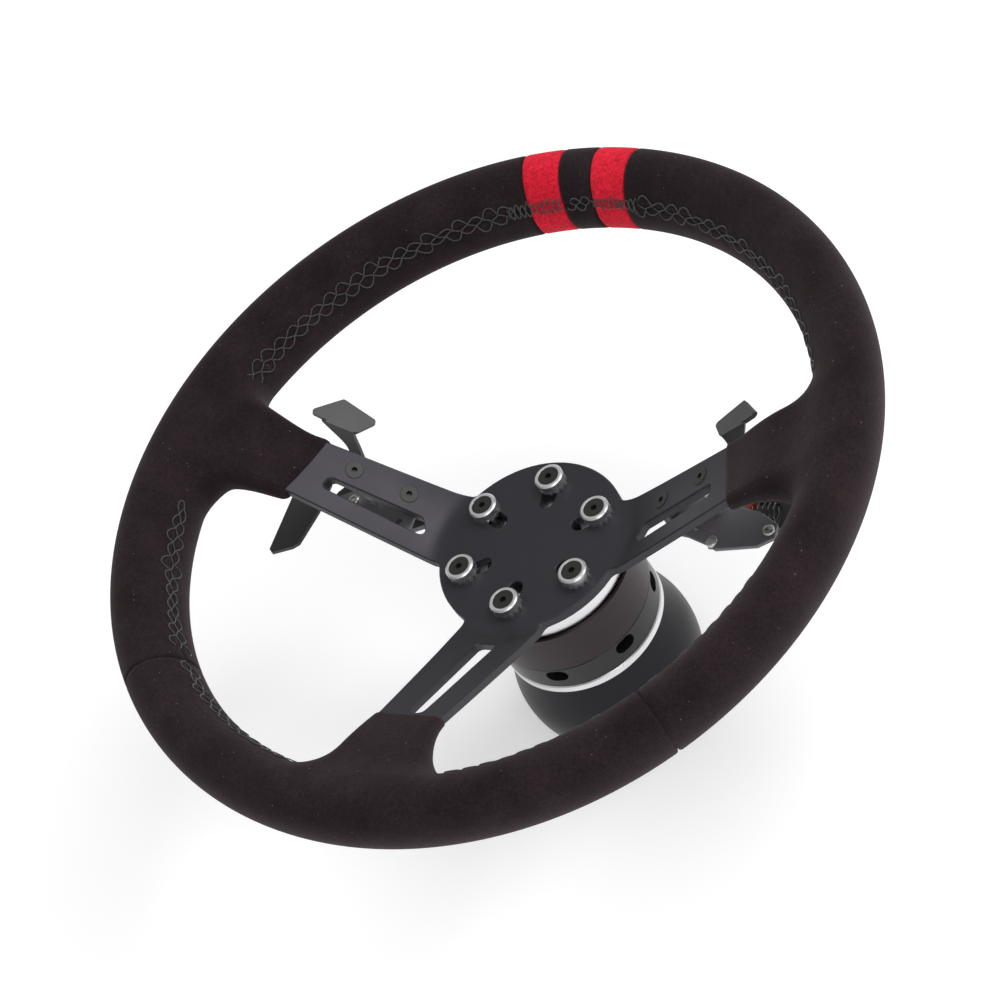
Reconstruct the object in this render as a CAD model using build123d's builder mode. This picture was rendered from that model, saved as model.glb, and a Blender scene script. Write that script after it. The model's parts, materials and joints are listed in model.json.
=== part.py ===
"""Quick release steering wheel with shift paddles. Units are millimetres.

The row's origin is the centre of the column boss's rear face. +Z runs along the
column towards the driver, +Y to twelve o'clock and +X to the driver's right.
"""
import os
from math import cos, hypot, radians, sin

from build123d import *

# rim
RIM_R = 174.0            # radius of the section's centre
RIM_Z = 176.0            # height of the rim's middle plane
GRIP_A = 20.3            # long half axis of the section, cover included
GRIP_B = 15.0            # short half axis
SKIN = 1.5               # cover thickness
SECTION_TURN = 65.3      # long axis of the section, from the radial direction
SEAM_LOW = 215.0         # lower left seam
SEAM_HIGH = 325.0        # lower right seam
BAND_RIGHT = (81.9, 88.4)  # marker bands, between two angles from three o'clock
BAND_LEFT = (94.1, 100.8)

# frame
HUB_Z = 124.0            # front face of the hub plate
PLATE_T = 5.0
HUB_R = 47.5
DISH_R = 50.0
BEND_R = 16.0            # radius of the bend between the hub and the spokes
EDGE_CHAMFER = 0.6       # on the frame's front edges
SLOPE = 0.605
FLAT_R = 136.0           # where the spokes turn level inside the grip
RING_IN = 166.0
RING_OUT = 178.0
DISH_RISE = SLOPE * (FLAT_R - DISH_R)
SIDE_SPOKE = [(20, 26.2), (50, 26.2), (109, 31), (170, 36), (170, 8.8), (117, -0.4), (50, -12), (20, -12)]
SIDE_SLOT = [(60, 8.9), (102, 13.9), (104, 7.7), (56, -0.4)]
FOOT_SPOKE = [(-20.5, -20), (20.5, -20), (20.5, -50), (16.5, -120), (14.3, -170), (-14.3, -170),
              (-16.5, -120), (-20.5, -50)]
FOOT_SLOT = [(-5.2, -59.5), (5.2, -59.5), (4, -117), (-4, -117)]
HUB_PCD_R = 35.0
SLOT_IN_R = 24.7
SLOT_W = 7.3

# quick release
FLANGE_R = 39.9
SLEEVE_R = 30.55
SLEEVE_BORE = 24.35
KEY_R = 22.6
COLLAR_R = 41.9
COLLAR_LOW = 78.5
COLLAR_TOP = 104.0
HOUSING_LOW = 64.4
BAND_R = 41.5
WINDOWS = 7
WINDOW_Z = 73.4
BALL_R = 4.0
BALL_RING_R = 26.7
BALL_Z = 76.0
SPIGOT_R = 24.0
SPIGOT_TOP = 105.0
FLUTE_R = 22.3
DISC_R = 41.8
DISC_LOW = 59.5
DISC_TOP = 64.0
COLUMN_R = 9.525

# shifters
SPOKE_SCREWS = [(68.1, 18.3), (92.9, 21.3)]
SCREW_R = 2.5
SCREW_HEAD_R = 4.5
SCREW_SINK = 2.4
FLOOR_LOW = 108.0
FLOOR_TOP = 111.0
COVER_LOW = 124.0
COVER_TOP = 126.0
PIVOT_X = 98.0
PIVOT_Z = 116.0
PIN_R = 2.0
SPRING_Y = 25.5
SPRING_Z = 117.4
NAMES = {1: "right", -1: "left"}

os.makedirs("parts", exist_ok=True)


def save(piece, label):
    piece.part.label = label
    export_step(piece.part, f"parts/{label}.step")


def section(shrink=0.0):
    """The rim's section on the XZ plane."""
    with BuildSketch(Plane.XZ) as face:
        with Locations((RIM_R, RIM_Z)):
            Ellipse(GRIP_A - shrink, GRIP_B - shrink, rotation=SECTION_TURN)
    return face.sketch


def panel(start, end):
    """A length of the grip's cover between two clock angles."""
    with BuildPart() as piece:
        with BuildSketch(Plane.XZ.rotated((0, 0, start))) as face:
            with Locations((RIM_R, RIM_Z)):
                Ellipse(GRIP_A, GRIP_B, rotation=SECTION_TURN)
                Ellipse(GRIP_A - SKIN, GRIP_B - SKIN, rotation=SECTION_TURN, mode=Mode.SUBTRACT)
        revolve(axis=Axis.Z, revolution_arc=end - start)
    return piece


def dish(low, high):
    """The dished sheet's profile, between two offsets from its front face."""
    front = [(0, HUB_Z), (DISH_R, HUB_Z), (FLAT_R, HUB_Z + DISH_RISE), (200, HUB_Z + DISH_RISE)]
    return [(r, z + low) for r, z in front] + [(r, z + high) for r, z in reversed(front)]


def spoke_height(x, y):
    return HUB_Z + SLOPE * (hypot(x, y) - DISH_R)


def lies_on_front(edge):
    """Whether an edge bounds the frame's front, clear of the grip's sleeves."""
    for place in (0, 0.3, 0.5, 0.7, 1):
        point = edge @ place
        reach = hypot(point.X, point.Y)
        slack = 0.8 if abs(reach - DISH_R) < 6 else 0.02
        rise = max(0.0, SLOPE * (reach - DISH_R))
        if reach > 116 or abs(point.Z - HUB_Z - rise) > slack:
            return False
    return True


def screw_plane(x, y):
    """The plane of a spoke screw's head, square to the sloping spoke."""
    reach = hypot(x, y)
    return Plane(origin=(x, y, spoke_height(x, y)), z_dir=(-SLOPE * x / reach, -SLOPE * y / reach, 1))


# --- M4 countersunk screws that hold the shifters to the spokes ---
spoke_screws = {}
for side in NAMES:
    with BuildPart() as screws:
        for x, y in SPOKE_SCREWS:
            with Locations(screw_plane(side * x, y)):
                Cylinder(SCREW_HEAD_R, 0.35, align=(Align.CENTER, Align.CENTER, Align.MIN))
                with Locations((0, 0, -SCREW_SINK)):
                    Cone(SCREW_R, SCREW_HEAD_R, SCREW_SINK, align=(Align.CENTER, Align.CENTER, Align.MIN))
                    Cylinder(SCREW_R, 4.6, align=(Align.CENTER, Align.CENTER, Align.MAX))
            with BuildSketch(screw_plane(side * x, y).offset(0.35)) as drive:
                RegularPolygon(1.6, 6)
            extrude(amount=-2.0, mode=Mode.SUBTRACT)
        circles = screws.edges().filter_by(GeomType.CIRCLE)
        head_rims = circles.filter_by(lambda e: e.radius > SCREW_HEAD_R - 0.01)
        chamfer([e for e in head_rims if e.center().Z == max(
            o.center().Z for o in head_rims if (o.center() - e.center()).length < 1)], 0.2)
    spoke_screws[side] = screws

flare = (SCREW_HEAD_R - SCREW_R) / SCREW_SINK  # the countersink's widening over its last millimetre
with BuildPart() as screw_cut:
    for side in NAMES:
        for x, y in SPOKE_SCREWS:
            with Locations(screw_plane(side * x, y)):
                with Locations((0, 0, -SCREW_SINK)):
                    Cone(
                        SCREW_R, SCREW_HEAD_R + flare, SCREW_SINK + 1, align=(Align.CENTER, Align.CENTER, Align.MIN))
                    Cylinder(SCREW_R, 4.6, align=(Align.CENTER, Align.CENTER, Align.MAX))

# --- spoke frame, with the ring that the rim is moulded on ---
with BuildPart() as spoke_frame:
    with BuildSketch() as outline:
        Circle(RING_OUT)
        Circle(RING_IN, mode=Mode.SUBTRACT)
        Circle(HUB_R)
        Polygon(*SIDE_SPOKE, align=None)
        Polygon(*[(-x, y) for x, y in SIDE_SPOKE], align=None)
        Polygon(*FOOT_SPOKE, align=None)
        inner_corners = outline.vertices().filter_by(lambda v: 28 < hypot(v.X, v.Y) < 53)
        fillet(inner_corners, 4.0)
        Polygon(*FOOT_SLOT, align=None, mode=Mode.SUBTRACT)
        Polygon(*SIDE_SLOT, align=None, mode=Mode.SUBTRACT)
        Polygon(*[(-x, y) for x, y in SIDE_SLOT], align=None, mode=Mode.SUBTRACT)
        slot_corners = outline.vertices().filter_by(lambda v: abs(v.X) < 5.3 and -118 < v.Y < -59)
        slot_corners += outline.vertices().filter_by(lambda v: 55 < abs(v.X) < 105 and -1 < v.Y < 14)
        fillet(slot_corners, 2.4)
        with PolarLocations((HUB_PCD_R + SLOT_IN_R) / 2, 6, start_angle=30):
            SlotOverall(HUB_PCD_R - SLOT_IN_R + SLOT_W, SLOT_W, mode=Mode.SUBTRACT)
    extrude(amount=300)
    with BuildSketch(Plane.XZ) as sheet:
        Polygon(*dish(-PLATE_T, 0), align=None)
        fillet(sheet.vertices().filter_by(lambda v: abs(v.X - DISH_R) < 1), BEND_R)
    revolve(axis=Axis.Z, mode=Mode.INTERSECT)
    add(screw_cut.part, mode=Mode.SUBTRACT)
    upright_faces = spoke_frame.faces().filter_by(lambda f: abs(f.normal_at(f.center()).Z) < 0.05)
    outline_edges = [edge for face in upright_faces for edge in face.edges() if lies_on_front(edge)]
    chamfer(outline_edges, EDGE_CHAMFER)
save(spoke_frame, "spoke_frame")
for side, name in NAMES.items():
    save(spoke_screws[side], f"spoke_screws_{name}")

# --- rim ---
with BuildPart() as rim_foam:
    add(section(SKIN))
    revolve(axis=Axis.Z)
    add(spoke_frame.part, mode=Mode.SUBTRACT)
save(rim_foam, "rim_foam")

PANELS = {
    "grip_top": (BAND_RIGHT[1], BAND_LEFT[0]),
    "marker_band_right": BAND_RIGHT,
    "marker_band_left": BAND_LEFT,
    "grip_left": (BAND_LEFT[1], SEAM_LOW),
    "grip_lower": (SEAM_LOW, SEAM_HIGH),
    "grip_right": (SEAM_HIGH - 360, BAND_RIGHT[0]),
}
for label, (start, end) in PANELS.items():
    cover = panel(start, end)
    with BuildPart() as cut_cover:
        add(cover.part)
        add(spoke_frame.part, mode=Mode.SUBTRACT)
    save(cut_cover, label)

# --- lobes that carry the cover on to the spokes ---
LOBE_SECTIONS = [
    (113.5, 14.6, 158.9, 35.6, 8.8, 3.6),
    (136.0, 14.0, 171.5, 48.0, 15.0, 6.5),
    (163.0, 11.5, 172.5, 78.0, 26.0, 11.0),
]
FOOT_SECTIONS = [
    (119.5, 163.4, 34.8, 8.8, 3.6),
    (139.0, 172.0, 40.0, 15.0, 6.5),
    (163.0, 172.5, 66.0, 26.0, 11.0),
]
with BuildPart() as rim_solid:
    add(section())
    revolve(axis=Axis.Z)

for side, name in NAMES.items():
    with BuildPart() as lobe:
        for x, y, z, width, height, corner in LOBE_SECTIONS:
            turn = side * (0.2 if x < 120 else 0.0)
            with BuildSketch(Plane(origin=(side * x, y, z), x_dir=(-turn, 1, 0), z_dir=(1, turn, 0))):
                RectangleRounded(width, height, corner)
        loft()
        add(rim_solid.part, mode=Mode.SUBTRACT)
        add(spoke_frame.part, mode=Mode.SUBTRACT)
    save(lobe, f"lobe_{name}")

with BuildPart() as lobe:
    for reach, z, width, height, corner in FOOT_SECTIONS:
        with BuildSketch(Plane(origin=(0, -reach, z), x_dir=(1, 0, 0), z_dir=(0, -1, 0))):
            RectangleRounded(width, height, corner)
    loft()
    add(rim_solid.part, mode=Mode.SUBTRACT)
    add(spoke_frame.part, mode=Mode.SUBTRACT)
save(lobe, "lobe_bottom")

# --- hub screws on their cup washers ---
WASHER_R = 7.15
WASHER_FOOT = 1.7
WASHER_NECK = 2.4
WASHER_TOP = 6.0
NOTCHES = 14
upright = (Align.CENTER, Align.CENTER, Align.MIN)
with BuildPart() as cup_washers:
    with BuildSketch(Plane.XY.offset(HUB_Z)) as feet:
        with PolarLocations(HUB_PCD_R, 6, start_angle=30):
            Circle(WASHER_R)
            with PolarLocations(WASHER_R, NOTCHES):
                Circle(0.75, mode=Mode.SUBTRACT)
    extrude(amount=WASHER_FOOT)
    with PolarLocations(HUB_PCD_R, 6, start_angle=30):
        with Locations((0, 0, HUB_Z + WASHER_FOOT)):
            Cylinder(WASHER_R - 0.9, WASHER_NECK - WASHER_FOOT, align=upright)
        with Locations((0, 0, HUB_Z + WASHER_NECK)):
            Cylinder(WASHER_R, WASHER_TOP - WASHER_NECK, align=upright)
        with Locations((0, 0, HUB_Z)):
            Cylinder(2.6, WASHER_TOP, align=upright, mode=Mode.SUBTRACT)
        with Locations((0, 0, HUB_Z + 3.2)):
            Cone(2.6, 5.3, WASHER_TOP - 3.2, align=upright, mode=Mode.SUBTRACT)
    top_rims = cup_washers.edges().filter_by(GeomType.CIRCLE).filter_by(
        lambda e: e.radius > WASHER_R - 0.01 and abs(e.center().Z - HUB_Z - WASHER_TOP) < 0.01)
    chamfer(top_rims, 0.7)
save(cup_washers, "cup_washers")

with BuildPart() as hub_screws:
    with PolarLocations(HUB_PCD_R, 6, start_angle=30):
        with Locations((0, 0, HUB_Z + 3.3)):
            Cone(2.5, 5.1, WASHER_TOP - 3.3, align=upright)
        with Locations((0, 0, HUB_Z - PLATE_T - 5.2)):
            Cylinder(2.5, PLATE_T + 8.5, align=upright)
    with BuildSketch(Plane.XY.offset(HUB_Z + WASHER_TOP)) as drive:
        with PolarLocations(HUB_PCD_R, 6, start_angle=30):
            RegularPolygon(1.75, 6)
    extrude(amount=-2.2, mode=Mode.SUBTRACT)
save(hub_screws, "hub_screws")

# --- adapter flange with the ball sleeve ---
FLANGE_TOP = HUB_Z - PLATE_T
FLANGE_LOW = FLANGE_TOP - 5.5
with BuildPart() as adapter_flange:
    with BuildSketch(Plane.XY.offset(FLANGE_LOW)) as disc:
        Circle(FLANGE_R)
        Circle(SLEEVE_BORE, mode=Mode.SUBTRACT)
        with PolarLocations(HUB_PCD_R, 6, start_angle=30):
            Circle(2.5, mode=Mode.SUBTRACT)
    extrude(amount=5.5)
    with BuildSketch(Plane.XY.offset(101.8)) as skirt:
        Circle(FLANGE_R)
        Circle(37.4, mode=Mode.SUBTRACT)
    extrude(amount=FLANGE_LOW - 101.8)
    with BuildSketch(Plane.XY.offset(HOUSING_LOW)) as sleeve:
        Circle(SLEEVE_R)
        Circle(SLEEVE_BORE, mode=Mode.SUBTRACT)
    extrude(amount=FLANGE_LOW - HOUSING_LOW)
    with BuildSketch(Plane.XY.offset(HOUSING_LOW + 1)) as keys:
        with PolarLocations((KEY_R + SLEEVE_BORE + 0.6) / 2, 6, start_angle=30):
            Rectangle(SLEEVE_BORE - KEY_R + 0.6, 6.4)
    extrude(amount=FLANGE_LOW - HOUSING_LOW - 2)
    with PolarLocations(SLEEVE_R - 3, 6):
        with Locations(Location((0, 0, BALL_Z), (0, 90, 0))):
            Cylinder(BALL_R + 0.15, 12, mode=Mode.SUBTRACT)
save(adapter_flange, "adapter_flange")

# --- locking balls ---
for index in range(6):
    turn = radians(60 * index)
    with BuildPart() as ball:
        with Locations((BALL_RING_R * cos(turn), BALL_RING_R * sin(turn), BALL_Z)):
            Sphere(BALL_R)
    save(ball, f"locking_ball_{index + 1}")

# --- window ring behind the collar ---
with BuildPart() as window_ring:
    with BuildSketch(Plane.XZ) as profile:
        Polygon(
            (SLEEVE_R, HOUSING_LOW), (BAND_R - 0.5, HOUSING_LOW), (BAND_R, HOUSING_LOW + 0.5),
            (BAND_R, 77.9), (BAND_R - 0.3, 78.2), (37.2, 78.2), (37.2, HOUSING_LOW + 2.2),
            (SLEEVE_R, HOUSING_LOW + 2.2), align=None)
    revolve(axis=Axis.Z)
    for index in range(WINDOWS):
        turn = radians(360 / WINDOWS * index - 31)
        outward = (cos(turn), sin(turn), 0)
        window_plane = Plane(origin=(0, 0, WINDOW_Z), x_dir=(-sin(turn), cos(turn), 0), z_dir=outward)
        with BuildSketch(window_plane) as window:
            SlotOverall(11, 7.6)
        extrude(amount=50, mode=Mode.SUBTRACT)
save(window_ring, "window_ring")

# --- release collar, whose inside ramp frees the balls ---
with BuildPart() as release_collar:
    with BuildSketch(Plane.XZ) as profile:
        Polygon(
            (40.3, COLLAR_TOP - 8), (40.3, COLLAR_TOP - 0.9), (41.0, COLLAR_TOP),
            (COLLAR_R, COLLAR_TOP - 0.8),
            (COLLAR_R, COLLAR_LOW + 0.5), (COLLAR_R - 0.5, COLLAR_LOW), (36.5, COLLAR_LOW), (36.5, 68.0),
            (32.6, 68.0), (32.6, 71.0), (30.9, 77.0), (30.9, COLLAR_TOP - 8), align=None)
    revolve(axis=Axis.Z)
save(release_collar, "release_collar")

# --- collar spring ---
SPRING_LOW = COLLAR_TOP - 8
SPRING_R = 34.2
WIRE_R = 0.9
COIL_LENGTH = FLANGE_LOW - SPRING_LOW - 2 * WIRE_R - 0.1
with BuildPart() as collar_spring:
    with BuildLine() as coil:
        Helix(3.9, COIL_LENGTH, SPRING_R, center=(0, 0, SPRING_LOW + WIRE_R + 0.05))
    with BuildSketch(Plane(origin=coil.line @ 0, z_dir=coil.line % 0)) as wire:
        Circle(WIRE_R)
    sweep(is_frenet=True)
save(collar_spring, "collar_spring")

# --- column side ---
with BuildPart() as column_spigot:
    with BuildSketch(Plane.XZ) as profile:
        Polygon(
            (13, DISC_LOW), (DISC_R - 0.5, DISC_LOW), (DISC_R, DISC_LOW + 0.5), (DISC_R, DISC_TOP - 0.6),
            (DISC_R - 0.6, DISC_TOP), (SPIGOT_R, DISC_TOP), (SPIGOT_R, SPIGOT_TOP - 2),
            (SPIGOT_R - 2, SPIGOT_TOP), (13, SPIGOT_TOP), align=None)
    revolve(axis=Axis.Z)
    with BuildSketch(Plane.XY.offset(DISC_TOP)) as flutes:
        with PolarLocations((FLUTE_R + 26) / 2, 12):
            Rectangle(26 - FLUTE_R, 6.8)
    extrude(amount=50, mode=Mode.SUBTRACT)
    with PolarLocations(HUB_PCD_R, 6, start_angle=30):
        with Locations((0, 0, DISC_LOW)):
            Cylinder(2.5, 5, align=(Align.CENTER, Align.CENTER, Align.MIN), mode=Mode.SUBTRACT)
        with Locations((0, 0, DISC_TOP - 2.7)):
            Cone(2.5, 5.0, 2.7, align=(Align.CENTER, Align.CENTER, Align.MIN), mode=Mode.SUBTRACT)
save(column_spigot, "column_spigot")

with BuildPart() as spigot_screws:
    with PolarLocations(HUB_PCD_R, 6, start_angle=30):
        with Locations((0, 0, DISC_TOP - 2.8)):
            Cone(2.4, 4.9, 2.7, align=(Align.CENTER, Align.CENTER, Align.MIN))
        with Locations((0, 0, DISC_TOP - 15)):
            Cylinder(2.4, 12.2, align=(Align.CENTER, Align.CENTER, Align.MIN))
    with BuildSketch(Plane.XY.offset(DISC_TOP - 0.1)) as drive:
        with PolarLocations(HUB_PCD_R, 6, start_angle=30):
            RegularPolygon(1.75, 6)
    extrude(amount=-1.6, mode=Mode.SUBTRACT)
save(spigot_screws, "spigot_screws")

BOSS_CURVE = [(40.0, 58.6), (42.6, 50), (46.2, 36), (46.6, 26), (44.0, 12), (38.5, 1.5)]
BOSS_POCKET = [(42.0, 30), (40.0, 14), (34.5, 0)]
with BuildPart() as column_boss:
    with BuildSketch(Plane.XZ) as profile:
        with BuildLine() as edge:
            Polyline((18, 0), (18, 59.5), (39.2, 59.5), BOSS_CURVE[0])
            Spline(*BOSS_CURVE)
            Polyline(BOSS_CURVE[-1], (37.2, 0), (18, 0))
        make_face()
    revolve(axis=Axis.Z)
    with BuildSketch(Plane.XZ) as pocket:
        with BuildLine() as edge:
            Polyline((34.5, 0), (24, 0), (24, 44), (36, 44), BOSS_POCKET[0])
            Spline(*BOSS_POCKET)
        make_face()
    revolve(axis=Axis.Z, mode=Mode.SUBTRACT)
    with BuildSketch(Plane.XY.offset(DISC_LOW)) as taps:
        with PolarLocations(HUB_PCD_R, 6, start_angle=30):
            Circle(2.5)
    extrude(amount=-12, mode=Mode.SUBTRACT)
save(column_boss, "column_boss")

with BuildPart() as column_insert:
    with BuildSketch(Plane.XZ) as profile:
        Polygon(
            (COLUMN_R, 0), (18, 0), (18, 30), (14, 34), (14, 36), (11, 36), (11, 30), (COLUMN_R, 30),
            align=None)
    revolve(axis=Axis.Z)
save(column_insert, "column_insert")

# --- shifters ---
BLOCK = [(70, 20), (82, 20), (82, 29), (70, 29)]
FLOOR = [(70, 18.5), (78, 15.2), (84, 13.4), (104, 15), (120, 20), (122, 36), (104, 36), (96, 29), (70, 29)]
POST_R = 4.0
DECKS = {
    "right": [(70, 11.2), (92.2, 11.2), (92.2, 0.9), (97, 0.9), (97, 7), (123, 7), (123, 12), (103, 12),
              (103, 21.6), (98, 22.5), (90, 27.6), (70, 27.6)],
    "left": [(70, 8), (92, 8.6), (104, 12.5), (108.2, 17), (108.2, 23.5), (98, 27.6), (70, 27.6)],
}
COVERS = {
    "right": [(70, 8), (81, 6), (91.4, 2), (96.7, -0.9), (117, 1.5), (124.4, 6.3), (123.9, 13.8),
              (112.6, 20.6), (100.5, 22.9), (90, 29), (70, 29)],
    "left": [(68.5, 1.5), (81, 3.8), (92, 7), (104, 10.6), (117, 14.4), (120.6, 17.6), (118.2, 22.4),
             (104, 29.4), (68.5, 29.4)],
}
CAP_SCREWS = {"right": [(94.6, 2.8), (120.8, 9.6)], "left": [(84, 24.5), (106, 20.8)]}
SPY_HOLES = {"right": (84, 10.5), "left": (76, 9.5)}
DECK_LOW = 122.8
HUB_Y = (13.6, 18.1)
STEM_X = 105.3
STEM_Y = 36.4
ARM_EDGE = [
    (96.9, 13.6), (104, 13.6), (104, 11.1), (136, 23.6), (136, 30), (126.5, 28.6), (125, 32), (120.6, 37.4),
    (101.7, 37.4), (101.7, 31.2), (116.4, 31.2), (119.4, 28.2), (119.4, 18.1), (96.9, 18.1),
]
BLADE_EDGE = [
    (136.3, 0.8), (139.4, -1.7), (150, -5.3), (152, -3.4), (151.4, 28), (150.4, 41), (147.6, 45), (138, 45),
    (131.6, 37), (132.4, 20),
]
TAB_EDGE = [(-0.8, 0.1), (15.0, 1.8), (25.5, 3.4), (11, 16.0), (-9, 9.8)]
with BuildPart() as above_frame:
    with BuildSketch(Plane.XZ) as region:
        Polygon(*dish(-PLATE_T, 100), align=None)
    revolve(axis=Axis.Z)


def box(side, x, y, z, mode=Mode.ADD):
    """A block given by its two ends along each axis, x being mirrored on the left."""
    with Locations((side * (x[0] + x[1]) / 2, (y[0] + y[1]) / 2, (z[0] + z[1]) / 2)):
        Box(x[1] - x[0], y[1] - y[0], z[1] - z[0], mode=mode)


def rod(side, x, y, z, radius, mode=Mode.ADD):
    """A cylinder along Y."""
    with Locations(Location((side * x, (y[0] + y[1]) / 2, z), (90, 0, 0))):
        Cylinder(radius, y[1] - y[0], mode=mode)


def outline_plate(side, points, low, high):
    with BuildSketch(Plane.XY.offset(low)) as plate:
        Polygon(*[(side * x, y) for x, y in points], align=None)
    extrude(plate.sketch, amount=high - low)


def spoke_post(side, index, low):
    """A post from a height up to the back of the spoke, drilled for its screw."""
    x, y = SPOKE_SCREWS[index]
    with Locations((side * x, y, low)):
        Cylinder(POST_R, 60, align=upright)


def build_housing(side, name):
    """The shifter's base, standoff and cover."""
    with BuildPart() as base:
        outline_plate(side, FLOOR, FLOOR_LOW, FLOOR_TOP)
        outline_plate(side, BLOCK, FLOOR_TOP, COVER_LOW)
        outline_plate(side, DECKS[name], DECK_LOW, COVER_LOW)
        box(side, (94, 103), (11.2, 13.4), (112, DECK_LOW))
        box(side, (94, 103), (18.3, 21.5), (FLOOR_TOP, DECK_LOW))
        box(side, (100, 103.2), (23, 28), (FLOOR_TOP, 121))
        spoke_post(side, 0, 122)
        rod(side, PIVOT_X, (11, 22), PIVOT_Z, PIN_R, mode=Mode.SUBTRACT)
        add(above_frame.part, mode=Mode.SUBTRACT)
        add(screw_cut.part, mode=Mode.SUBTRACT)
        for x, y in CAP_SCREWS[name]:
            with Locations((side * x, y, COVER_LOW)):
                Cylinder(1.3, 10, mode=Mode.SUBTRACT)
    save(base, f"shifter_base_{name}")

    with BuildPart() as standoff:
        spoke_post(side, 1, COVER_TOP)
        add(above_frame.part, mode=Mode.SUBTRACT)
        add(screw_cut.part, mode=Mode.SUBTRACT)
    save(standoff, f"spoke_standoff_{name}")

    with BuildPart() as cover:
        outline_plate(side, COVERS[name], COVER_LOW, COVER_TOP)
        corners = cover.edges().filter_by(Axis.Z)
        fillet(corners, 1.0)
        with Locations((side * SPOKE_SCREWS[0][0], SPOKE_SCREWS[0][1], COVER_LOW)):
            Cylinder(4.3, 20, mode=Mode.SUBTRACT)
        for x, y in CAP_SCREWS[name]:
            with Locations((side * x, y, COVER_LOW)):
                Cylinder(1.3, 20, mode=Mode.SUBTRACT)
        x, y = SPY_HOLES[name]
        with Locations((side * x, y, COVER_LOW)):
            Cylinder(1.6, 20, mode=Mode.SUBTRACT)
        chamfer(cover.faces().sort_by(Axis.Z)[-1].outer_wire().edges(), 0.35)
    save(cover, f"shifter_cover_{name}")

    with BuildPart() as screws:
        for x, y in CAP_SCREWS[name]:
            with Locations((side * x, y, COVER_TOP)):
                Cylinder(3.0, 1.7, align=upright)
            with Locations((side * x, y, DECK_LOW)):
                Cylinder(1.3, COVER_TOP - DECK_LOW, align=upright)
        rims = screws.edges().filter_by(GeomType.CIRCLE).filter_by(lambda e: e.center().Z > COVER_TOP + 1.6)
        fillet(rims, 1.1)
        with BuildSketch(Plane.XY.offset(COVER_TOP + 1.7)) as drive:
            for x, y in CAP_SCREWS[name]:
                with Locations((side * x, y)):
                    RegularPolygon(1.35, 6)
        extrude(amount=-1.2, mode=Mode.SUBTRACT)
    save(screws, f"cover_screws_{name}")


def build_action(side, name):
    """The shifter's pin, return spring, switch and paddle."""
    with BuildPart() as pin:
        rod(side, PIVOT_X, (11.2, 21.5), PIVOT_Z, PIN_R)
    save(pin, f"pivot_pin_{name}")

    with BuildPart() as seat:
        seat_plane = Plane(origin=(side * 103.2, SPRING_Y, SPRING_Z), x_dir=(0, 1, 0), z_dir=(side, 0, 0))
        with BuildSketch(seat_plane) as cup:
            Circle(4.7)
        extrude(amount=2.4)
        chamfer(seat.edges().filter_by(GeomType.CIRCLE), 0.4)
    save(seat, f"spring_seat_{name}")

    with BuildPart() as coil_spring:
        with BuildLine() as coil:
            Helix(2.6, 11.0, 4.1, center=(side * 106.4, SPRING_Y, SPRING_Z), direction=(side, 0, 0))
        with BuildSketch(Plane(origin=coil.line @ 0, z_dir=coil.line % 0)) as wire:
            Circle(0.6)
        sweep(is_frenet=True)
    save(coil_spring, f"return_spring_{name}")

    with BuildPart() as switch:
        box(side, (84, 93.9), (13.6, 18.2), (FLOOR_TOP, 113.4))
        box(side, (90.6, 93.4), (14.5, 17.3), (112, 113.4), mode=Mode.SUBTRACT)
    save(switch, f"microswitch_{name}")

    with BuildPart() as plunger:
        box(side, (90.9, 93.1), (14.8, 17.0), (112.8, 114.5))
        tops = plunger.faces().sort_by(Axis.Z)[-1].edges()
        fillet(tops, 0.4)
    save(plunger, f"switch_plunger_{name}")

    with BuildPart() as paddle:
        rod(side, PIVOT_X, HUB_Y, PIVOT_Z, 3.6)
        box(side, (90.4, PIVOT_X), HUB_Y, (PIVOT_Z - 1, PIVOT_Z + 1))
        outline_plate(side, ARM_EDGE, PIVOT_Z - 1, PIVOT_Z + 1)
        outline_plate(side, BLADE_EDGE, PIVOT_Z - 1, PIVOT_Z + 1)
        stem_foot = (side * STEM_X, STEM_Y, PIVOT_Z)
        stem_plane = Plane(origin=stem_foot, x_dir=(side, 0, 0), z_dir=(0, -0.99 * side, 0.13 * side))
        with BuildSketch(stem_plane) as stem:
            with BuildLine() as stem_edge:
                outer = Spline((3.5, -1), (4.6, 19), (2.2, 29), (4.6, 38), (8.5, 48))
                inner = Spline((-3.5, -1), (-2.8, 18), (-4.2, 29), (-4.8, 35), (-8.0, 43))
                Line(outer @ 0, inner @ 0)
                Line(outer @ 1, inner @ 1)
            make_face()
        extrude(amount=1, both=True)
        tab_corner = (side * 98.7, 41.0, 155.2)
        tab_plane = Plane(origin=tab_corner, x_dir=(side * 0.856, 0, 0.517), z_dir=(-side * 0.517, 0, 0.856))
        split(bisect_by=tab_plane, keep=Keep.BOTTOM)
        with BuildSketch(tab_plane) as tab:
            Polygon(*[(u, v * side) for u, v in TAB_EDGE], align=None)
            fillet(tab.vertices(), 1.8)
        extrude(amount=-2)
        rod(side, PIVOT_X, (11, 22), PIVOT_Z, PIN_R + 0.06, mode=Mode.SUBTRACT)
    save(paddle, f"paddle_{name}")


for side, name in NAMES.items():
    build_housing(side, name)
    build_action(side, name)
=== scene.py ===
"""Quick release steering wheel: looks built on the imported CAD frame."""
import json
import math

import bpy
import numpy as np
import openvdb
from mathutils import Matrix, Vector


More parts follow.
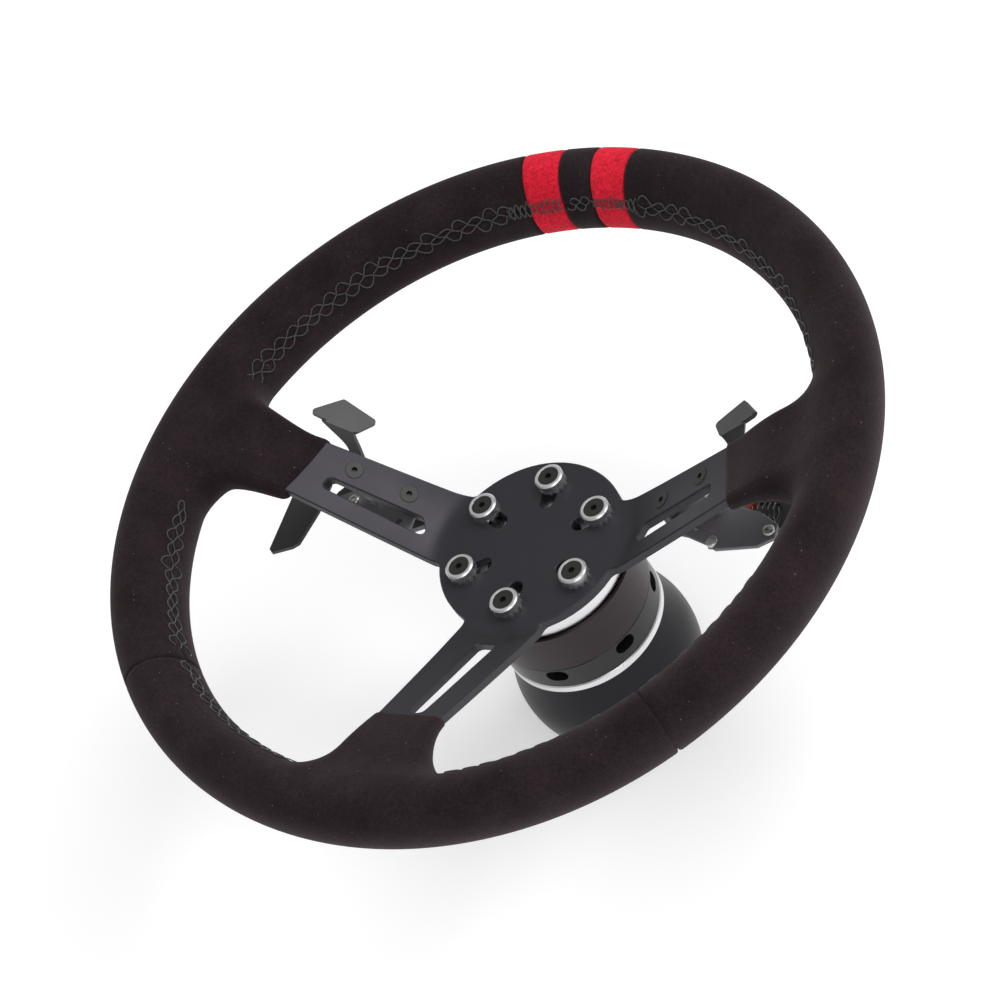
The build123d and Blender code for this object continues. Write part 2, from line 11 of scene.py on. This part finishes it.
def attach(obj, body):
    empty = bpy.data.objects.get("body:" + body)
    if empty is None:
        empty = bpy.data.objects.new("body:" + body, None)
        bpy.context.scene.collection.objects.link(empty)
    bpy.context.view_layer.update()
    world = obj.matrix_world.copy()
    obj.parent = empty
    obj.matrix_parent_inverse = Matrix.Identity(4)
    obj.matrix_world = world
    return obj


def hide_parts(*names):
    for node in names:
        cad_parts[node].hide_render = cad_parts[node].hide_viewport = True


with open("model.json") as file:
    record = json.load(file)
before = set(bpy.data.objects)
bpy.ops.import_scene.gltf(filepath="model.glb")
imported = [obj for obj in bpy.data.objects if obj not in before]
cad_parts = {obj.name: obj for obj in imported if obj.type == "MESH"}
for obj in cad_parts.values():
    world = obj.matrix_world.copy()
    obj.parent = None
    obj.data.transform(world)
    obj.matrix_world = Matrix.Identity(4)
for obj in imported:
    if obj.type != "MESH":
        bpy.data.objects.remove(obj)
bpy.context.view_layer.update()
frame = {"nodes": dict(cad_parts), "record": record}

# Lengths are in millimetres and angles round the rim in degrees, unless a name says otherwise.
MM = 0.001
RIM_R = 174.0                     # radius of the rim's centre line
RIM_Z = 176.0                     # its height
GRIP_A = 20.3                     # half of the grip's section, the long way
GRIP_B = 15.0                     # and the short way
TILT = math.radians(65.3)         # lean of the section's long axis
LACE_PHI = math.radians(94.0)     # where the lacing runs round the section
HUB_Z = 124.0                     # front of the hub plate
SEAM_LOW = 222.0                  # seam between the left and the lower panel
SEAM_HIGH = 316.5                 # seam between the lower and the right panel
BANDS = (81.8, 88.25, 94.15, 100.7)   # edges of the two marker bands


# ---------------------------------------------------------------- materials
class Nodes:
    """A material's node tree, with short calls for the nodes used here."""

    def __init__(self, name):
        self.material = bpy.data.materials.new(name)
        self.material.use_nodes = True
        self.tree = self.material.node_tree
        self.shader = self.tree.nodes["Principled BSDF"]
        self.coord = self.tree.nodes.new("ShaderNodeTexCoord").outputs["Object"]

    def set(self, **values):
        for key, value in values.items():
            self.shader.inputs[key.replace("_", " ")].default_value = value
        return self

    def link(self, a, b):
        self.tree.links.new(a, b)

    def noise(self, scale, detail=4.0, roughness=0.55, stretch=None):
        node = self.tree.nodes.new("ShaderNodeTexNoise")
        node.inputs["Scale"].default_value = scale
        node.inputs["Detail"].default_value = detail
        node.inputs["Roughness"].default_value = roughness
        source = self.coord
        if stretch:
            mapping = self.tree.nodes.new("ShaderNodeMapping")
            mapping.inputs["Scale"].default_value = stretch
            self.link(source, mapping.inputs["Vector"])
            source = mapping.outputs["Vector"]
        self.link(source, node.inputs["Vector"])
        return node.outputs["Fac"]

    def cells(self, scale, output="Distance"):
        node = self.tree.nodes.new("ShaderNodeTexVoronoi")
        node.inputs["Scale"].default_value = scale
        self.link(self.coord, node.inputs["Vector"])
        return node.outputs[output]

    def ramp(self, source, stops):
        node = self.tree.nodes.new("ShaderNodeValToRGB")
        while len(node.color_ramp.elements) < len(stops):
            node.color_ramp.elements.new(0.5)
        for element, (place, color) in zip(node.color_ramp.elements, stops):
            element.position = place
            element.color = (*color, 1.0)
        self.link(source, node.inputs["Fac"])
        return node.outputs["Color"]

    def remap(self, source, low, high, out_low, out_high):
        node = self.tree.nodes.new("ShaderNodeMapRange")
        limits = {"From Min": low, "From Max": high, "To Min": out_low, "To Max": out_high}
        for key, value in limits.items():
            node.inputs[key].default_value = value
        self.link(source, node.inputs["Value"])
        return node.outputs["Result"]

    def bump(self, height, strength, distance, under=None):
        node = self.tree.nodes.new("ShaderNodeBump")
        node.inputs["Strength"].default_value = strength
        node.inputs["Distance"].default_value = distance
        self.link(height, node.inputs["Height"])
        if under:
            self.link(under, node.inputs["Normal"])
        return node.outputs["Normal"]

    def finish(self, color=None, rough=None, normal=None):
        sources = {"Base Color": color, "Roughness": rough, "Normal": normal}
        for key, source in sources.items():
            if source is not None:
                self.link(source, self.shader.inputs[key])
        return self.material


def mix_color(nodes, factor, a, b, mode="MIX"):
    """A colour mix whose inputs are sockets or plain colours."""
    node = nodes.tree.nodes.new("ShaderNodeMix")
    node.data_type = "RGBA"
    node.blend_type = mode
    for index, value in ((0, factor), (6, a), (7, b)):
        if isinstance(value, (tuple, list)):
            node.inputs[index].default_value = (*value, 1.0)
        elif isinstance(value, (int, float)):
            node.inputs[index].default_value = value
        else:
            nodes.link(value, node.inputs[index])
    return node.outputs[2]


def suede(name, dark, light, lint, sheen):
    """Suede with a soft nap, a fine grain and a few specks of lint."""
    nodes = Nodes(name).set(
        Sheen_Weight=0.16, Sheen_Roughness=0.5, Sheen_Tint=(*sheen, 1.0), Specular_IOR_Level=0.1)
    patches = nodes.noise(38, 5, 0.6)
    fibre = nodes.noise(1500, 3, 0.7)
    nap = nodes.noise(260, 4, 0.65)
    base = nodes.ramp(patches, [(0.32, dark), (0.72, light)])
    grain = nodes.remap(fibre, 0.3, 0.7, 0.72, 1.22)
    base = mix_color(nodes, 1.0, base, grain, "MULTIPLY")
    shade = nodes.remap(nap, 0.3, 0.7, 0.86, 1.12)
    base = mix_color(nodes, 1.0, base, shade, "MULTIPLY")
    speck = nodes.remap(nodes.cells(230), 0.045, 0.095, 0.6, 0.0)
    sparse = nodes.remap(nodes.noise(120, 2, 0.5), 0.49, 0.57, 0.0, 1.0)
    amount = nodes.tree.nodes.new("ShaderNodeMath")
    amount.operation = "MULTIPLY"
    nodes.link(speck, amount.inputs[0])
    nodes.link(sparse, amount.inputs[1])
    base = mix_color(nodes, amount.outputs[0], base, lint)
    rough = nodes.remap(nap, 0.3, 0.7, 0.86, 0.98)
    pile = nodes.noise(700, 4, 0.7)
    base = mix_color(nodes, 1.0, base, nodes.remap(pile, 0.32, 0.68, 0.68, 1.32), "MULTIPLY")
    normal = nodes.bump(nap, 0.25, 0.0006)
    normal = nodes.bump(pile, 0.45, 0.0004, normal)
    normal = nodes.bump(fibre, 0.45, 0.00025, normal)
    return nodes.finish(base, rough, normal)


def coated(name, color, rough, grain_scale=2600, grain=0.12, level=0.5, tint=(1, 1, 1)):
    """An anodised or powder coated metal with fine grain and slight wear in its tone."""
    nodes = Nodes(name).set(Metallic=0.0, Specular_IOR_Level=level, Specular_Tint=(*tint, 1.0))
    cloud = nodes.noise(22, 4, 0.55)
    fine = nodes.noise(grain_scale, 2, 0.6)
    low = tuple(c * 0.875 for c in color)
    high = tuple(c * 1.125 for c in color)
    base = nodes.ramp(cloud, [(0.3, low), (0.7, high)])
    base = mix_color(nodes, 1.0, base, nodes.remap(fine, 0.3, 0.7, 0.9, 1.1), "MULTIPLY")
    roughness = nodes.remap(cloud, 0.3, 0.7, rough - 0.05, rough + 0.06)
    return nodes.finish(base, roughness, nodes.bump(fine, grain, 0.0002))


def turned(name, color, rough):
    """Bare metal with fine turning marks around its axis."""
    nodes = Nodes(name).set(Metallic=1.0)
    lines = nodes.noise(3.0, 3, 0.6, (1, 1, 900))
    cloud = nodes.noise(40, 3, 0.5)
    base = nodes.ramp(lines, [(0.3, tuple(c * 0.88 for c in color)), (0.7, color)])
    roughness = nodes.remap(cloud, 0.3, 0.7, rough - 0.04, rough + 0.07)
    return nodes.finish(base, roughness, nodes.bump(lines, 0.03, 0.0001))


def plastic(name, color, rough):
    """Moulded plastic or foam with a fine grain."""
    nodes = Nodes(name).set(Specular_IOR_Level=0.45)
    grain = nodes.noise(1800, 3, 0.6)
    base = nodes.ramp(nodes.noise(60, 3, 0.5), [(0.3, tuple(c * 0.85 for c in color)), (0.7, color)])
    roughness = nodes.remap(grain, 0.3, 0.7, rough - 0.06, rough + 0.06)
    return nodes.finish(base, roughness, nodes.bump(grain, 0.2, 0.0002))


def yarn(name, color, dark):
    """Twisted thread."""
    nodes = Nodes(name).set(Sheen_Weight=0.3, Specular_IOR_Level=0.3)
    twist = nodes.noise(1700, 2, 0.5)
    base = nodes.ramp(twist, [(0.35, dark), (0.65, color)])
    roughness = nodes.remap(twist, 0.3, 0.7, 0.6, 0.8)
    return nodes.finish(base, roughness, nodes.bump(twist, 0.5, 0.0002))


BLACK_SUEDE = suede(
    "suede_black_nap", (0.0112, 0.0068, 0.0078), (0.0225, 0.0142, 0.0162),
    (0.17, 0.145, 0.155), (0.5, 0.4, 0.42))
RED_SUEDE = suede(
    "suede_red_nap", (0.56, 0.011, 0.026), (0.74, 0.018, 0.042), (0.75, 0.20, 0.24), (0.9, 0.3, 0.35))
FOAM = plastic("foam_skin", (0.02, 0.02, 0.02), 0.8)
FRAME_BLACK = coated(
    "anodised_frame", (0.0165, 0.0160, 0.0190), 0.46, level=0.42, tint=(0.92, 0.88, 1.0))
COLLAR_BROWN = coated(
    "anodised_collar", (0.0125, 0.0070, 0.0090), 0.36, 3000, 0.06, level=0.32, tint=(1.0, 0.86, 0.9))
BAND_BLACK = coated("anodised_band", (0.011, 0.0112, 0.0125), 0.32, 3000, 0.05, level=0.36)
BOSS_BLACK = coated(
    "powder_boss", (0.0060, 0.0060, 0.0070), 0.40, 1600, 0.10, level=0.25, tint=(0.92, 0.92, 1.0))
PADDLE_BLACK = coated("powder_paddle", (0.022, 0.020, 0.022), 0.42, 1900, 0.10)
HOUSING_BLACK = coated("powder_housing", (0.125, 0.120, 0.128), 0.42, 1900, 0.10)
SILVER = turned("turned_silver", (0.82, 0.82, 0.83), 0.28)
WASHER = turned("turned_washer", (0.74, 0.74, 0.75), 0.36)
STEEL = turned("zinc_steel", (0.62, 0.62, 0.60), 0.3)
SCREW_BLACK = coated("black_oxide", (0.015, 0.0145, 0.0120), 0.42, 2600, 0.08, level=0.36)
SPRING = turned("spring_wire", (0.10, 0.10, 0.105), 0.3)
CHROME = turned("ball_steel", (0.8, 0.8, 0.82), 0.1)
BLACK_PLASTIC = plastic("switch_black", (0.02, 0.02, 0.021), 0.5)
RED_PLASTIC = plastic("cap_red", (0.36, 0.030, 0.012), 0.4)
THREAD = yarn("lacing_grey", (0.062, 0.066, 0.065), (0.018, 0.019, 0.019))
THREAD_DARK = yarn("lacing_dark", (0.045, 0.048, 0.046), (0.014, 0.015, 0.015))

FINISHES = {
    "frame_black": FRAME_BLACK, "suede_black": BLACK_SUEDE, "suede_red": RED_SUEDE, "foam": FOAM,
    "silver": SILVER, "washer_silver": WASHER, "screw_black": SCREW_BLACK, "steel": STEEL,
    "spring_steel": SPRING, "collar_brown": COLLAR_BROWN, "band_black": BAND_BLACK, "boss_black": BOSS_BLACK,
    "paddle_black": PADDLE_BLACK, "housing_black": HOUSING_BLACK, "plastic_black": BLACK_PLASTIC,
    "plastic_red": RED_PLASTIC, "bearing_steel": CHROME,
}
for part in frame["record"]["subparts"]:
    node = frame["nodes"][part["node"]]
    for slot in node.material_slots:
        slot.material = FINISHES[part["material_slot"]]


# ---------------------------------------------------------------- pieces
def piece(name, points, faces, material, body, smooth=True):
    """A mesh piece from points in millimetres."""
    mesh = bpy.data.meshes.new(name)
    mesh.from_pydata((np.asarray(points) * MM).tolist(), [], [list(map(int, f)) for f in faces])
    mesh.update()
    mesh.materials.append(material)
    if smooth:
        mesh.shade_smooth()
    obj = bpy.data.objects.new(name, mesh)
    bpy.context.collection.objects.link(obj)
    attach(obj, body)
    return obj


def smooth_min(a, b, k):
    h = np.maximum(k - np.abs(a - b), 0) / k
    return np.minimum(a, b) - h * h * k * 0.25


def smooth_max(a, b, k):
    return -smooth_min(-a, -b, k)


def ellipse_distance(u, v, a, b):
    k0 = np.sqrt((u / a) ** 2 + (v / b) ** 2)
    k1 = np.sqrt((u / a ** 2) ** 2 + (v / b ** 2) ** 2)
    return k0 * (k0 - 1) / np.maximum(k1, 1e-6)


def rim_local(p):
    """Section coordinates of points: along the long axis, along the short one."""
    dr = np.hypot(p[..., 0], p[..., 1]) - RIM_R
    dz = p[..., 2] - RIM_Z
    return dr * math.cos(TILT) + dz * math.sin(TILT), -dr * math.sin(TILT) + dz * math.cos(TILT)


def lace_offset(p):
    """How far points lie from the lacing's line, across it."""
    u, v = rim_local(p)
    centre = np.array([GRIP_A * math.cos(LACE_PHI), GRIP_B * math.sin(LACE_PHI)])
    return u - centre[0], v - centre[1]


def sheet_height(r):
    """Mid height of the sloping spokes, eased into the level stretch inside the rim."""
    return HUB_Z + 0.605 * (smooth_min(r, 136.0, 12.0) - 50) - 2.5


LOBES = {
    "right": {"end": 112.4, "half": 17.9, "flare": 11.0, "slant": 0.33},
    "left": {"end": 112.4, "half": 17.9, "flare": 11.0, "slant": 0.33},
    "bottom": {"end": 119.6, "half": 17.5, "flare": 15.5, "slant": 0.0},
}


def grip_distance(p, lobe):
    """Signed distance to the grip: the rim's ring, with the sleeve that reaches along one spoke."""
    u, v = rim_local(p)
    rim = ellipse_distance(u, v, GRIP_A, GRIP_B)
    if not lobe:
        return rim
    shape = LOBES[lobe]
    x, y, z = p[..., 0], p[..., 1], p[..., 2]
    if lobe == "bottom":
        along, across = -y, x
    else:
        along = x if lobe == "right" else -x
        climb = np.clip((along - 113) / 50, 0, 1)
        across = y - 14.6 - 8.5 * climb * climb * (3 - 2 * climb)
    t = np.clip((along - shape["end"]) / (163 - shape["end"]), 0, 1)
    width = shape["half"] + shape["flare"] * t ** (1.8 if lobe == "bottom" else 1.25)
    thick = 4.5 + 8.5 * t ** 1.5
    rise = np.abs(z - sheet_height(np.hypot(x, y)) + 1.6 * t) - thick
    side = np.abs(across) - width
    corner = thick * 0.9
    outside = np.hypot(np.maximum(side + corner, 0), np.maximum(rise + corner, 0)) - corner
    sleeve = np.where((side > -corner) | (rise > -corner), outside, np.maximum(side, rise))
    sleeve = smooth_max(sleeve, along - 160, 8.0)
    body = smooth_min(rim, sleeve, 15.0)
    cut = shape["end"] - along - shape["slant"] * across
    cut = cut - 1.6 * np.maximum(np.abs(across) - 30, 0)
    return smooth_max(body, cut, 2.4)


def panel_distance(p, lobe, start, end, laced):
    """The grip cut to one panel, drawn in along its lacing and rounded at its seams."""
    f = grip_distance(p, lobe)
    x, y = p[..., 0], p[..., 1]
    angle = np.degrees(np.arctan2(y, x))
    a, b = math.radians(start), math.radians(end)
    low = -(y * math.cos(a) - x * math.sin(a)) + 0.06
    high = (y * math.cos(b) - x * math.sin(b)) + 0.06
    du, dv = lace_offset(p)
    near = np.exp(-(du / 1.1) ** 2) * np.exp(-(dv / 5.0) ** 2)
    ridge = np.exp(-((np.abs(du) - 4.2) / 1.6) ** 2) * np.exp(-(dv / 6.0) ** 2)
    arc = np.radians(angle) * 160.0
    pucker = 0.5 + 0.5 * np.cos(arc * 2 * math.pi / 8.2)
    turn = np.mod(angle - start + 180, 360) - 180 + start
    weight = np.zeros_like(f)
    for first, last in laced:
        inside = np.clip((turn - first) / 2.5, 0, 1) * np.clip((last - turn) / 2.5, 0, 1)
        weight = np.maximum(weight, inside)
    f = f + weight * (0.95 * near + 0.40 * ridge * pucker)
    f = smooth_max(f, low, 1.8)
    f = smooth_max(f, high, 1.8)
    return f


def surface(name, distance, box, step, material, body):
    """The zero surface of a distance function, with its points moved exactly on to it."""
    axes = [np.arange(lo - 3 * step, hi + 3 * step, step) for lo, hi in box]
    values = np.empty([len(a) for a in axes], np.float32)
    gy, gz = np.meshgrid(axes[1], axes[2], indexing="ij")
    for index, x in enumerate(axes[0]):
        values[index] = distance(np.stack([np.full_like(gy, x), gy, gz], -1))
    values = np.clip(values, -4 * step, 4 * step)
    grid = openvdb.FloatGrid(background=4 * step)
    grid.copyFromArray(values)
    points, quads = grid.convertToQuads(isovalue=0.0)
    points = points * step + np.array([a[0] for a in axes])
    eps = 0.15
    for _ in range(2):
        f = distance(points)
        slope = np.stack(
            [(distance(points + eps * e) - distance(points - eps * e)) / (2 * eps) for e in np.eye(3)], -1)
        size = np.maximum((slope ** 2).sum(-1), 0.15)
        move = -(f / size)[:, None] * slope
        points = points + np.clip(move, -0.8 * step, 0.8 * step)
    return piece(name, points, quads[:, ::-1], material, body)


STEP = 1.25   # grid of the large panels
BAND_STEP = 1.0                          # and of the small ones
Z_SPAN = (RIM_Z - 22, RIM_Z + 22)
LACED_TOP = [(70, 110)]
# Each panel by name: lobe, first and last angle, laced stretches, span along X and along Y, grid,
# material, the slot it stands for, and the nodes it replaces.
PANELS = {
    "grip_right_suede": (
        "right", SEAM_HIGH - 360, BANDS[0], [(20, 81)], (24, 192), (-140, 192), STEP,
        BLACK_SUEDE, "suede_black", ("grip_right", "lobe_right")),
    "grip_left_suede": (
        "left", BANDS[3], SEAM_LOW, [(101, 162), (186, 226)], (-192, -24), (-140, 192), STEP,
        BLACK_SUEDE, "suede_black", ("grip_left", "lobe_left")),
    "grip_lower_suede": (
        "bottom", SEAM_LOW, SEAM_HIGH, [(215, 258)], (-162, 162), (-192, -88), STEP,
        BLACK_SUEDE, "suede_black", ("grip_lower", "lobe_bottom")),
    "grip_top_suede": (
        "", BANDS[1], BANDS[2], LACED_TOP, (-16, 8), (152, 192), BAND_STEP,
        BLACK_SUEDE, "suede_black", ("grip_top",)),
    "band_right_suede": (
        "", BANDS[0], BANDS[1], LACED_TOP, (2, 30), (148, 192), BAND_STEP,
        RED_SUEDE, "suede_red", ("marker_band_right",)),
    "band_left_suede": (
        "", BANDS[2], BANDS[3], LACED_TOP, (-38, -8), (148, 192), BAND_STEP,
        RED_SUEDE, "suede_red", ("marker_band_left",)),
}
for name, (lobe, start, end, laced, x_span, y_span, step, material, slot, hidden) in PANELS.items():
    obj = surface(
        name, lambda p: panel_distance(p, lobe, start, end, laced),
        [x_span, y_span, Z_SPAN], step, material, "wheel")
    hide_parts(*hidden)


# ---------------------------------------------------------------- lacing
def rim_point(theta, across, lift):
    """A point on the grip beside the lacing's line: across it and above the suede, in millimetres."""
    phi = LACE_PHI - across / 19.5
    u, v = GRIP_A * math.cos(phi), GRIP_B * math.sin(phi)
    nu, nv = math.cos(phi) / GRIP_A, math.sin(phi) / GRIP_B
    size = math.hypot(nu, nv)
    u, v = u + nu / size * lift, v + nv / size * lift
    dr = u * math.cos(TILT) - v * math.sin(TILT)
    dz = u * math.sin(TILT) + v * math.cos(TILT)
    t = math.radians(theta)
    return ((RIM_R + dr) * math.cos(t), (RIM_R + dr) * math.sin(t), RIM_Z + dz)


def thread(name, runs, radius, material, body="wheel"):
    """Thread lying along open runs of points, in millimetres."""
    curve = bpy.data.curves.new(name, "CURVE")
    curve.dimensions = "3D"
    curve.bevel_depth = radius * MM
    curve.bevel_resolution = 2
    curve.resolution_u = 3
    curve.use_fill_caps = True
    for run in runs:
        spline = curve.splines.new("NURBS")
        spline.points.add(len(run) - 1)
        for point, place in zip(spline.points, run):
            point.co = (*(c * MM for c in place), 1.0)
        spline.order_u = 3
        spline.use_endpoint_u = True
    curve.materials.append(material)
    obj = bpy.data.objects.new(name, curve)
    bpy.context.collection.objects.link(obj)
    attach(obj, body)
    return obj


PITCH = 2.95
HUMP = [(0.0, 0.9), (0.13, 2.6), (0.3, 3.8), (0.5, 4.1), (0.7, 3.7), (0.87, 2.4)]


def lace_rows(start, end, pitch, reach, seed):
    """Two scalloped rows and the cross links between them."""
    jitter = np.random.default_rng(seed)
    count = max(2, int((end - start) / pitch))
    upper, lower, links = [], [], []
    for index in range(count):
        base = start + index * pitch
        size = reach * (1 + 0.22 * jitter.standard_normal())
        skew = 0.35 * jitter.standard_normal()
        for t, v in HUMP:
            lift = 0.30 if v > 1.2 else 0.0
            upper.append(rim_point(base + (t + skew * t * (1 - t)) * pitch, v * size, lift))
            lower.append(rim_point(base + (t + 0.5 - skew * t * (1 - t)) * pitch, -v * size, lift))
        drift = 0.12 * jitter.standard_normal()
        links.append([rim_point(base, 1.0, -0.1), rim_point(base + (0.25 + drift) * pitch, 0.0, 0.25),
                      rim_point(base + 0.5 * pitch, -1.0, -0.1)])
        links.append([rim_point(base + 0.52 * pitch, -0.9, -0.1),
                      rim_point(base + (0.78 + drift) * pitch, 0.1, 0.25),
                      rim_point(base + pitch, 0.9, -0.1)])
    return [upper, lower] + links


def zigzag_rows(start, end, pitch, reach, seed):
    """The closer crossed stitches that run over the marker bands."""
    jitter = np.random.default_rng(seed)
    rows = []
    for sign in (1, -1):
        run = []
        theta = start
        while theta < end:
            v = reach * (1 + 0.22 * jitter.standard_normal())
            run.append(rim_point(theta, sign * v, 0.1))
            run.append(rim_point(theta + pitch * 0.18, sign * v * 0.8, 0.45))
            run.append(rim_point(theta + pitch * 0.36, -sign * v * 0.55, 0.45))
            run.append(rim_point(theta + pitch * 0.5, -sign * v * (0.8 + 0.2 * jitter.random()), 0.1))
            run.append(rim_point(theta + pitch * 0.7, -sign * v * 0.5, 0.45))
            run.append(rim_point(theta + pitch * 0.86, sign * v * 0.6, 0.45))
            theta += pitch
        rows.append(run)
    return rows


runs = []
STRETCHES = ((17, 79), (103.5, 165), (187, 220), (222.5, 256), (284, 315), (318, 344))
for seed, (start, end) in enumerate(STRETCHES):
    runs += lace_rows(start, end, PITCH, 1.0, 20 + seed)
lacing = thread("lacing_main", runs, 0.27, THREAD)
runs = lace_rows(BANDS[1] + 0.3, BANDS[2], 2.0, 0.95, 31)
runs += zigzag_rows(79.2, BANDS[0] + 0.2, 2.1, 3.3, 37) + zigzag_rows(BANDS[3] - 0.1, 103.4, 2.1, 3.3, 38)
lacing_top = thread("lacing_top", runs, 0.27, THREAD)
runs = zigzag_rows(BANDS[0] + 0.2, BANDS[1] + 0.1, 2.15, 3.5, 41)
runs += zigzag_rows(BANDS[2], BANDS[3], 2.15, 3.5, 42)
lacing_bands = thread("lacing_bands", runs, 0.27, THREAD_DARK)


# ---------------------------------------------------------------- floor, light, camera
def floor():
    """A plain pale floor."""
    mesh = bpy.data.meshes.new("floor")
    size = 6.0
    corners = [(-size, -size, 0), (size, -size, 0), (size, size, 0), (-size, size, 0)]
    mesh.from_pydata(corners, [], [(0, 1, 2, 3)])
    obj = bpy.data.objects.new("floor", mesh)
    bpy.context.collection.objects.link(obj)
    nodes = Nodes("floor_pale").set(Specular_IOR_Level=0.0, Roughness=0.9)
    nodes.shader.inputs["Emission Color"].default_value = (1, 1, 1, 1)
    nodes.shader.inputs["Emission Strength"].default_value = 0.31
    tone = nodes.ramp(nodes.noise(3, 3, 0.5), [(0.3, (0.84, 0.84, 0.845)), (0.7, (0.86, 0.86, 0.865))])
    mesh.materials.append(nodes.finish(tone))


def area_light(name, place, aim, size, power):
    data = bpy.data.lights.new(name, "AREA")
    data.shape = "DISK"
    data.size = size
    data.energy = power
    obj = bpy.data.objects.new(name, data)
    bpy.context.collection.objects.link(obj)
    obj.location = place
    obj.rotation_euler = (Vector(aim) - Vector(place)).to_track_quat("-Z", "Y").to_euler()


floor()
world = bpy.data.worlds.new("studio")
bpy.context.scene.world = world
world.use_nodes = True
world.node_tree.nodes["Background"].inputs["Color"].default_value = (1, 1, 1, 1)
world.node_tree.nodes["Background"].inputs["Strength"].default_value = 0.55
area_light("key", (1.1, 0.9, 1.9), (0, 0, 0.15), 1.5, 30)
area_light("fill", (1.2, -1.1, 1.2), (0, 0, 0.15), 1.2, 9)
bpy.context.scene.view_settings.view_transform = "Standard"

TURN = (2.449, 0.236, -0.670)
DISTANCE = 1.300
rotation = Matrix.Rotation(Vector(TURN).length, 3, Vector(TURN).normalized())
right, down, ahead = (Vector(rotation[row]) for row in range(3))
camera_data = bpy.data.cameras.new("camera")
camera_data.sensor_width = 36.0
camera_data.lens = 36.0 * 2.194 * DISTANCE * 1000 / 1000
camera_data.shift_x = 0.01477
camera_data.shift_y = -0.02048
camera_data.clip_start = 0.05
camera = bpy.data.objects.new("camera", camera_data)
bpy.context.collection.objects.link(camera)
place = Vector((0, 0, RIM_Z * MM)) - ahead * DISTANCE
camera.matrix_world = Matrix((
    (right.x, -down.x, -ahead.x, place.x),
    (right.y, -down.y, -ahead.y, place.y),
    (right.z, -down.z, -ahead.z, place.z),
    (0, 0, 0, 1),
))
bpy.context.scene.camera = camera
